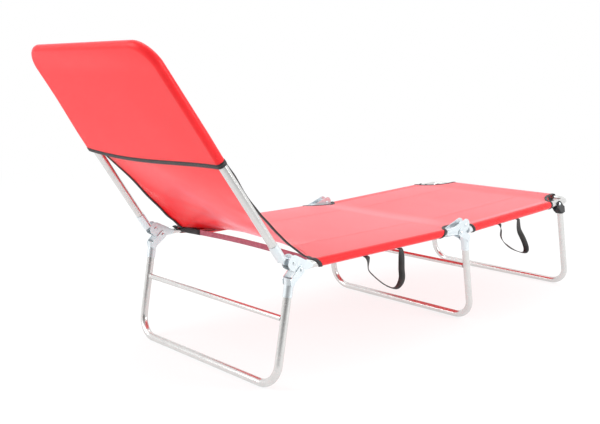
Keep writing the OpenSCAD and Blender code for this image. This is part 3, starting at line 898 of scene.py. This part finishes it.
# Knots in millimetres and degrees, from the sewn end nearer the head to the other
LOOP_X = RAIL_X / MM
SEAT_LOOP_KNOTS = [
    (LOOP_X + 2, 257, -11.8, 0), (LOOP_X + 9.5, 257, -14, 0), (LOOP_X + 13, 256.5, -23, -22),
    (LOOP_X + 17, 254, -44, -42), (LOOP_X + 23, 270, -63, -48), (LOOP_X + 28, 292, -81, -50),
    (LOOP_X + 31, 315, -95, -58), (LOOP_X + 32, 343, -105, -75), (LOOP_X + 30, 363, -100, -105),
    (LOOP_X + 25, 379, -85, -132), (LOOP_X + 19, 384, -62, -140), (LOOP_X + 13, 390, -32, -150),
    (LOOP_X + 9.5, 391, -14, -180), (LOOP_X + 2, 391, -11.8, -180)]
FOOT_LOOP_KNOTS = [
    (LOOP_X + 2, 189, -11.8, 0), (LOOP_X + 9.5, 189, -14, -10), (LOOP_X + 13, 188.6, -28, -40),
    (LOOP_X + 17, 183, -48, -46), (LOOP_X + 22, 193, -67, -38), (LOOP_X + 27, 219, -86, -30),
    (LOOP_X + 30, 256, -104, -52), (LOOP_X + 31, 290, -116, -70), (LOOP_X + 30, 310, -117, -95),
    (LOOP_X + 28, 316, -105, -120), (LOOP_X + 23, 308, -80, -140), (LOOP_X + 17, 290, -48, -155),
    (LOOP_X + 12, 292, -28, -170), (LOOP_X + 9.5, 294, -14, -180), (LOOP_X + 2, 294, -11.8, -180)]
seat_loop_run = loop_stations(seat_point, SEAT_LOOP_KNOTS)
foot_loop_run = loop_stations(foot_point, FOOT_LOOP_KNOTS)
seat_loop = swept_piece("seat_carry_loop", [(seat_loop_run, web_outline(WEB_W, WEB_T))], BLACK_WEB)
foot_loop = swept_piece("foot_carry_loop", [(foot_loop_run, web_outline(WEB_W, WEB_T))], BLACK_WEB)


def band_stations():
    """Flat band on edge between the rails; each end turns along its rail into the sleeve."""
    inner = RAIL_X - TUBE_R - BAND_GAP
    straight = inner - BAND_TURN_R
    turn_steps, straight_steps = 6, 24
    half = [(inner, BAND_Y + BAND_TAIL), (inner, BAND_Y + BAND_TAIL / 2)]
    for k in range(turn_steps + 1):
        turn = math.pi / 2 * k / turn_steps
        half.append((straight + BAND_TURN_R * math.cos(turn), BAND_Y + BAND_TURN_R * (1 - math.sin(turn))))
    row = half + [(mixed(straight, -straight, k / straight_steps), BAND_Y) for k in range(1, straight_steps)]
    row += [(-x, y) for x, y in half[::-1]]
    points = []
    for x, y in row:
        bow = BAND_BOW * math.cos(math.pi / 2 * min(abs(x) / inner, 1.0))
        points.append(seat_point(x, y, BAND_UP + bow))
    return ribbon_stations(points, [Vector((0, 0, 1))] * len(points))


BAND_RUN = band_stations()
BAND_END_RUN = [station for station in BAND_RUN if station[0].x <= -BAND_END_IN]
band = swept_piece("cross_band_web", [(BAND_RUN, web_outline(BAND_H, WEB_T))], SHADED_BAND)
band_end = swept_piece(
    "cross_band_end", [(BAND_END_RUN, web_outline(BAND_END_H, BAND_END_T))], BLACK_TAPE)


# Stitches
def stitch_tree():
    """Geometry nodes that lay short stitches along every edge chain of a mesh."""
    tree = bpy.data.node_groups.new("stitch_run", "GeometryNodeTree")
    panel = tree.interface
    panel.new_socket("Geometry", in_out="INPUT", socket_type="NodeSocketGeometry")
    for name, start in (("Pitch", STITCH_PITCH), ("Length", STITCH_LEN), ("Radius", STITCH_R)):
        panel.new_socket(name, in_out="INPUT", socket_type="NodeSocketFloat").default_value = start
    panel.new_socket("Thread", in_out="INPUT", socket_type="NodeSocketMaterial")
    panel.new_socket("Geometry", in_out="OUTPUT", socket_type="NodeSocketGeometry")
    given = add(tree, "NodeGroupInput").outputs
    line = add(tree, "GeometryNodeMeshToCurve", {"Mesh": given["Geometry"]})
    spaced = add(tree, "GeometryNodeResampleCurve", {
        "Curve": line.outputs[0], "Length": given["Pitch"]}, mode="LENGTH")
    stitch = add(tree, "GeometryNodeMeshCylinder", {
        "Vertices": 6, "Radius": given["Radius"], "Depth": given["Length"]})
    along = add(tree, "GeometryNodeInputTangent")
    turn = add(tree, "FunctionNodeAlignRotationToVector", {"Vector": along.outputs[0]}, axis="Z")
    laid = add(tree, "GeometryNodeInstanceOnPoints", {
        "Points": spaced.outputs[0], "Instance": stitch.outputs["Mesh"], "Rotation": turn.outputs[0]})
    real = add(tree, "GeometryNodeRealizeInstances", {"Geometry": laid.outputs[0]})
    dressed = add(tree, "GeometryNodeSetMaterial", {"Geometry": real.outputs[0], "Material": given["Thread"]})
    add(tree, "NodeGroupOutput", {"Geometry": dressed.outputs[0]})
    return tree


STITCH_TREE = stitch_tree()
STITCH_SOCKETS = {item.name: item.identifier for item in STITCH_TREE.interface.items_tree
                  if item.in_out == "INPUT"}


def stitched(name, lines, thread):
    """Piece of stitches along lines of points."""
    mesh = bpy.data.meshes.new(name)
    points, edges = [], []
    for line in lines:
        first = len(points)
        points += line
        edges += [(first + k, first + k + 1) for k in range(len(line) - 1)]
    mesh.from_pydata(points, edges, [])
    made = piece(name, mesh, thread)
    run = made.modifiers.new("stitches", "NODES")
    run.node_group = STITCH_TREE
    run[STITCH_SOCKETS["Pitch"]] = STITCH_PITCH
    run[STITCH_SOCKETS["Length"]] = STITCH_LEN
    run[STITCH_SOCKETS["Radius"]] = STITCH_R
    run[STITCH_SOCKETS["Thread"]] = thread
    plain_mesh(made)
    smooth(made.data)
    return made


def tape_line(stations):
    """Sewing line on the outer face of a binding."""
    return [centre + side * TAPE_SEWN_IN + normal * TAPE_SEWN_UP for centre, side, normal in stations]


def seam_point(x, along):
    """Point of a sewing line, just over the top face of the bed."""
    return bed_point(x, along, sleeve_radius(x, along) - bed_sag(x, along) + STITCH_UP)


def bed_line(x, start, stop):
    steps = max(int((stop - start) / SEAM_STEP), 1)
    return [seam_point(x, mixed(start, stop, k / steps)) for k in range(steps + 1)]


def bed_seams():
    """Sewing lines of the rail sleeves and of the end sleeve, seen on top of the bed."""
    seam_x = RAIL_X - SEAM_IN - FLAP_SEWN
    lines = []
    for side in (1, -1):
        x = side * seam_x
        lines.append(bed_line(x, crease(x) + SEAM_FROM_CREASE, SEAT_LEN - SEAM_TO_FOLD))
        lines.append(bed_line(x, SEAT_LEN + SEAM_FROM_FOLD, SEAT_LEN + END_CUT_TOP + SEAM_PAST_END))
    along = SEAT_LEN + FOOT_LEN - END_SEAM_IN - FLAP_SEWN
    left, right, steps = -END_SLEEVE_LEFT - SEAM_OVERRUN, END_SLEEVE_X + SEAM_OVERRUN, 60
    return lines + [[seam_point(mixed(left, right, k / steps), along) for k in range(steps + 1)]]


bed_stitches = stitched("bed_stitches", bed_seams(), RED_THREAD)
bed_tape_stitches = stitched("bed_binding_stitches", [tape_line(run) for run in BED_EDGES], BLACK_THREAD)
cover_tape_stitches = stitched("cover_binding_stitches", [tape_line(HEM_EDGE)], BLACK_THREAD)
sheet_tape_stitches = stitched(
    "back_sheet_binding_stitches", [tape_line(run) for run in SHEET_EDGES], BLACK_THREAD)

# The bed and back sheet pieces are baked in place; the other pieces ride a body
for made, slot in ((bed, "mesh"), (bed_binding, "webbing"), (bed_stitches, "mesh"),
                   (bed_tape_stitches, "webbing")):
    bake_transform(made)
SHEET_END = tuple(sheet_point(0, 1))
for made, slot in ((back_sheet, "mesh"), (sheet_binding, "webbing"), (sheet_tape_stitches, "webbing")):
    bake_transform(made)
for made, body, slot in ((cover, "backrest", "mesh"), (cover_binding, "backrest", "webbing"),
                         (cover_tape_stitches, "backrest", "webbing"), (seat_loop, "seat", "webbing"),
                         (foot_loop, "foot_section", "webbing"), (band, "seat", "band"),
                         (band_end, "seat", "webbing")):
    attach(made, body)
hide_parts("seat_sling", "foot_sling")
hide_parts("back_sheet")
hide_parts("back_cover")
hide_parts("seat_loop")
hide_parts("foot_loop")
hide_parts("cross_band")


# Finishes of the metal and plastic
NODE_FINISHES = {
    "rail": ALUMINIUM, "frame": ALUMINIUM, "stretcher": ALUMINIUM, "plate": ZINC_STEEL, "lug": ZINC_STEEL,
    "fork": ZINC_STEEL, "pivots": ZINC_STEEL, "rivets": ZINC_STEEL, "pins": ZINC_STEEL,
    "knuckle": BLACK_PLASTIC}
for name, node in frame["nodes"].items():
    for word, finish in NODE_FINISHES.items():
        if word in name.split("_"):
            for slot in node.material_slots:
                slot.material = finish


# Stage
FLOOR_REACH = 30
CAMERA_WAY = (0.70, -0.70, 0)
ROOM_WAY = (0.70, -0.70, 0.12)
WHITE = (1, 1, 1, 1)
# Ranges as from, to, value before and value after
FLOOR_FADE = (1.2, 4.0, 0.78, 1.0)
FLOOR_DARK = (0.9, 1.7, 0.0, 0.85)
ROOM_FADE = (0.62, 0.97, 1.0, 0.12)
# Lamps as place, target, size and power
LAMPS = {
    "top_box": ((-0.4, 0.3, 2.6), (0, 0, 0.3), (2.4, 2.4), 20),
    "left_box": ((-1.2, -2.6, 1.6), (0, -0.2, 0.4), (1.2, 2.0), 36),
    "right_box": ((2.6, 0.8, 1.4), (0, 0.1, 0.3), (1.0, 1.8), 44)}


def vector_value(tree, operation, *vectors):
    """The number that a vector operation gives."""
    node = add(tree, "ShaderNodeVectorMath", dict(enumerate(vectors)), operation=operation)
    return node.outputs["Value"]


def floor_material():
    """Floor that the camera sees nearly white with a soft shadow; metal sees it end before the camera."""
    made, tree = material_tree("pale_floor")
    path = add(tree, "ShaderNodeLightPath")
    seen = maths(tree, "MAXIMUM", path.outputs["Is Camera Ray"], path.outputs["Is Glossy Ray"])
    seen = maths(tree, "MAXIMUM", seen, path.outputs["Is Transmission Ray"])
    place = add(tree, "ShaderNodeTexCoord").outputs["Object"]
    far = rising(tree, vector_value(tree, "LENGTH", place), *FLOOR_FADE)
    matt = add(tree, "ShaderNodeBsdfDiffuse", {"Color": (0.95, 0.95, 0.95, 1)})
    near_camera = rising(tree, vector_value(tree, "DOT_PRODUCT", place, CAMERA_WAY), *FLOOR_DARK)
    dark = maths(tree, "MULTIPLY", path.outputs["Is Glossy Ray"], near_camera)
    glow = add(tree, "ShaderNodeEmission", {"Color": WHITE, "Strength": maths(tree, "SUBTRACT", 1.0, dark)})
    share = maths(tree, "MULTIPLY", seen, far)
    both = add(tree, "ShaderNodeMixShader", {0: share, 1: matt.outputs[0], 2: glow.outputs[0]})
    output(tree, both.outputs[0])
    return made


def floor():
    mesh = bpy.data.meshes.new("floor")
    corners = [(x * FLOOR_REACH, y * FLOOR_REACH, 0) for x, y in ((-1, -1), (1, -1), (1, 1), (-1, 1))]
    mesh.from_pydata(corners, [], [(0, 1, 2, 3)])
    made = piece("floor", mesh, floor_material())


def studio_world():
    """White surroundings; metal sees a darker room behind the camera, the camera sees plain white."""
    world = bpy.data.worlds.new("studio")
    bpy.context.scene.world = world
    world.use_nodes = True
    tree = world.node_tree
    tree.nodes.clear()
    way = add(tree, "ShaderNodeTexCoord").outputs["Generated"]
    level = rising(tree, vector_value(tree, "DOT_PRODUCT", way, ROOM_WAY), *ROOM_FADE)
    path = add(tree, "ShaderNodeLightPath")
    seen = maths(tree, "MAXIMUM", path.outputs["Is Camera Ray"], path.outputs["Is Transmission Ray"])
    plain = add(tree, "ShaderNodeBackground", {"Color": WHITE, "Strength": 1.0})
    room = add(tree, "ShaderNodeBackground", {"Color": WHITE, "Strength": level})
    around = add(tree, "ShaderNodeMixShader", {
        0: path.outputs["Is Glossy Ray"], 1: plain.outputs[0], 2: room.outputs[0]})
    both = add(tree, "ShaderNodeMixShader", {0: seen, 1: around.outputs[0], 2: plain.outputs[0]})
    add(tree, "ShaderNodeOutputWorld", {"Surface": both.outputs[0]})


def soft_box(name, place, target, size, power):
    """Rectangular lamp at a place, turned to a target."""
    light = bpy.data.lights.new(name, "AREA")
    light.shape = "RECTANGLE"
    light.size, light.size_y = size
    light.energy = power
    lamp = bpy.data.objects.new(name, light)
    turn = (Vector(target) - Vector(place)).to_track_quat("-Z", "Y")
    lamp.matrix_world = Matrix.Translation(place) @ turn.to_matrix().to_4x4()
    bpy.context.scene.collection.objects.link(lamp)


def photo_camera():
    """Camera fitted to the photograph, 600 by 424 pixels."""
    image_width, focal_pixels = 600, 782.16
    place = Vector((1.5264, BACK_Y - 1.2032, 0.7181))
    azimuth, elevation, roll = math.radians(45.456), math.radians(9.831), math.radians(0.417)
    flat = math.cos(elevation)
    ahead = Vector((-math.sin(azimuth) * flat, math.cos(azimuth) * flat, -math.sin(elevation)))
    level = Vector((math.cos(azimuth), math.sin(azimuth), 0))
    rise = level.cross(ahead)
    right = level * math.cos(roll) + rise * math.sin(roll)
    above = rise * math.cos(roll) - level * math.sin(roll)
    camera = bpy.data.cameras.new("photo_camera")
    camera.sensor_width = 36
    camera.sensor_fit = "HORIZONTAL"
    camera.lens = focal_pixels / image_width * camera.sensor_width
    made = bpy.data.objects.new("photo_camera", camera)
    turn = Matrix((right, above, -ahead)).transposed()
    made.matrix_world = Matrix.Translation(place) @ turn.to_4x4()
    bpy.context.scene.collection.objects.link(made)
    bpy.context.scene.camera = made


floor()
studio_world()
for name, settings in LAMPS.items():
    soft_box(name, *settings)
photo_camera()
bpy.context.scene.view_settings.view_transform = "Standard"
